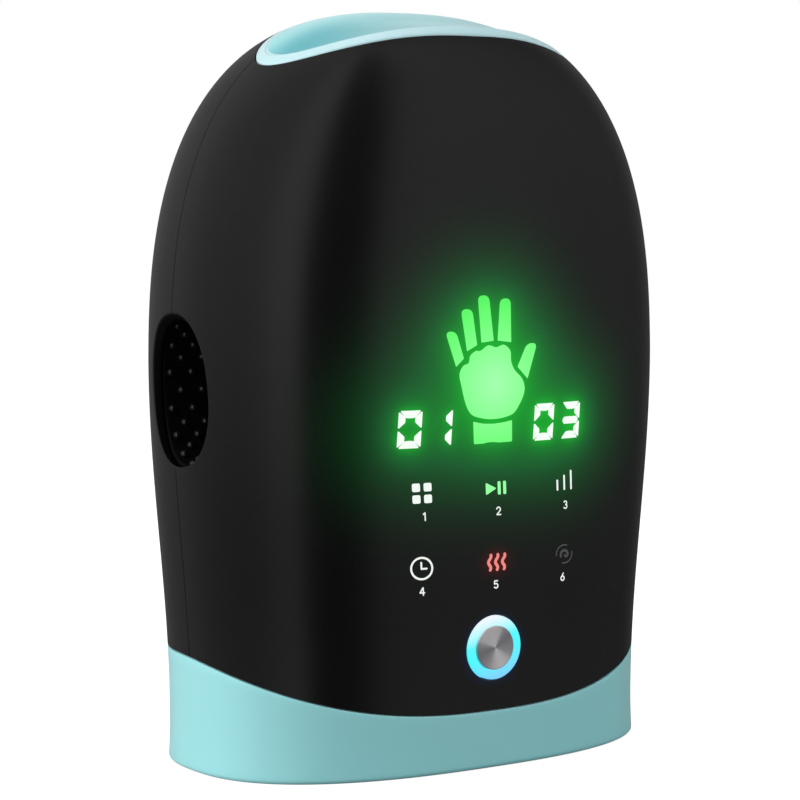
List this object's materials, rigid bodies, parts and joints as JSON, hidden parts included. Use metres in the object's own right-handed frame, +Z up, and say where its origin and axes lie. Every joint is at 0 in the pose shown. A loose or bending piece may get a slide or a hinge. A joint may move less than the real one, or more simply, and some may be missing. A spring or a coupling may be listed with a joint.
{
  "type": "hand massager",
  "caption": "Upright domed air-pressure hand massager: the hand enters from below, oval thumb holes in the sides, see-through touch display, ringed power button.",
  "frame": {"origin": "middle of the footprint, on the surface that the massager stands on; the two shells part in the plane Y = 0", "axes": "+Z up, the display faces -Y, and +X is to the right of a viewer who faces the display"},
  "size_m": [0.153, 0.093, 0.2098],
  "materials": {
    "black_shell": "satin",
    "teal_plastic": "satin",
    "case_plastic": "matte",
    "dark_plastic": "matte",
    "white_plastic": "matte",
    "gear_plastic": "matte",
    "lining": "satin",
    "black_rubber": "matte",
    "spun_metal": "spun",
    "lit_ring": "translucent",
    "display_light": "translucent",
    "steel": "satin",
    "brass_parts": "satin",
    "circuit_board": "satin",
    "airbag_film": "satin",
    "heater_film": "satin",
    "clear_tube": "satin",
    "battery_wrap": "satin",
    "ribbon": "satin"
  },
  "bodies": {
    "housing": {"front_shell": "black_shell", "back_shell": "black_shell", "base_collar": "teal_plastic", "top_inlay": "teal_plastic", "front_frame": "case_plastic", "back_frame": "case_plastic", "left_thumb_sleeve": "lining", "right_thumb_sleeve": "lining", "button_light_ring": "lit_ring", "button_switch": "dark_plastic", "display_board": "circuit_board", "display_leds": "display_light", "light_guide": "white_plastic", "touch_springs": "steel", "display_chips": "dark_plastic", "front_airbag": "airbag_film", "finger_airbag": "airbag_film", "palm_side_pads": "lining", "idler_pin": "steel", "knead_motor": "steel", "gearbox_case": "gear_plastic", "gearbox_cover": "gear_plastic", "shaft_bushes": "brass_parts", "pump_motor": "steel", "pump_head": "gear_plastic", "valve_bodies": "dark_plastic", "air_manifold": "gear_plastic", "air_tubes": "clear_tube", "battery_tray": "white_plastic", "battery_pack": "battery_wrap", "main_board": "circuit_board", "main_chips": "dark_plastic", "buzzer": "dark_plastic", "charge_board": "circuit_board", "charge_socket": "steel", "ribbon_cable": "ribbon", "screw_plugs": "black_rubber", "shell_screws": "steel", "frame_screws": "steel", "collar_screws": "steel", "inlay_screws": "steel", "board_screws": "steel", "gearbox_screws": "steel"},
    "button": {"power_button": "spun_metal", "switch_plunger": "white_plastic"},
    "front_presser": {"front_press_plate": "case_plastic", "heating_pad": "heater_film", "front_node_mat": "lining", "thermal_cutout": "steel"},
    "finger_presser": {"finger_press_plate": "case_plastic", "finger_node_mat": "lining"},
    "kneader": {"kneading_disc": "case_plastic", "kneading_heads": "lining", "disc_shaft": "steel", "output_gear": "gear_plastic"},
    "idler": {"idler_gear": "gear_plastic"},
    "knead_rotor": {"motor_pinion": "brass_parts"},
    "pump_rotor": {"pump_eccentric": "gear_plastic"},
    "front_valve": {"front_valve_plunger": "steel"},
    "finger_valve": {"finger_valve_plunger": "steel"}
  },
  "joints": [
    {"name": "button_press", "type": "slide", "parent": "housing", "child": "button", "axis": [0, 1, 0], "range_m": [0, 0.0006], "stiffness_N_per_m": 600},
    {"name": "front_plate_press", "type": "slide", "parent": "housing", "child": "front_presser", "axis": [0, 1, 0], "range_m": [0, 0.008], "stiffness_N_per_m": 120, "deforming": ["front_airbag"]},
    {"name": "finger_plate_press", "type": "slide", "parent": "housing", "child": "finger_presser", "axis": [0, -1, 0], "range_m": [0, 0.006], "stiffness_N_per_m": 120, "deforming": ["finger_airbag"]},
    {"name": "disc_spin", "type": "hinge", "parent": "housing", "child": "kneader", "pos_m": [0, 0.016, 0.078], "axis": [0, 1, 0], "continuous": true},
    {"name": "idler_spin", "type": "hinge", "parent": "housing", "child": "idler", "pos_m": [0.01188, 0.026, 0.08988], "axis": [0, 1, 0], "continuous": true},
    {"name": "motor_spin", "type": "hinge", "parent": "housing", "child": "knead_rotor", "pos_m": [0.00907, 0.03, 0.10583], "axis": [0, 1, 0], "continuous": true},
    {"name": "pump_spin", "type": "hinge", "parent": "housing", "child": "pump_rotor", "pos_m": [-0.006, 0.0313, 0.14], "axis": [1, 0, 0], "continuous": true},
    {"name": "front_valve_lift", "type": "slide", "parent": "housing", "child": "front_valve", "axis": [0, 0, 1], "range_m": [0, 0.001], "stiffness_N_per_m": 150},
    {"name": "finger_valve_lift", "type": "slide", "parent": "housing", "child": "finger_valve", "axis": [0, 0, 1], "range_m": [0, 0.001], "stiffness_N_per_m": 150}
  ],
  "couplings": [
    {"joint": "idler_spin", "follows": "disc_spin", "ratio": -3.6667},
    {"joint": "motor_spin", "follows": "disc_spin", "ratio": 12.833}
  ]
}
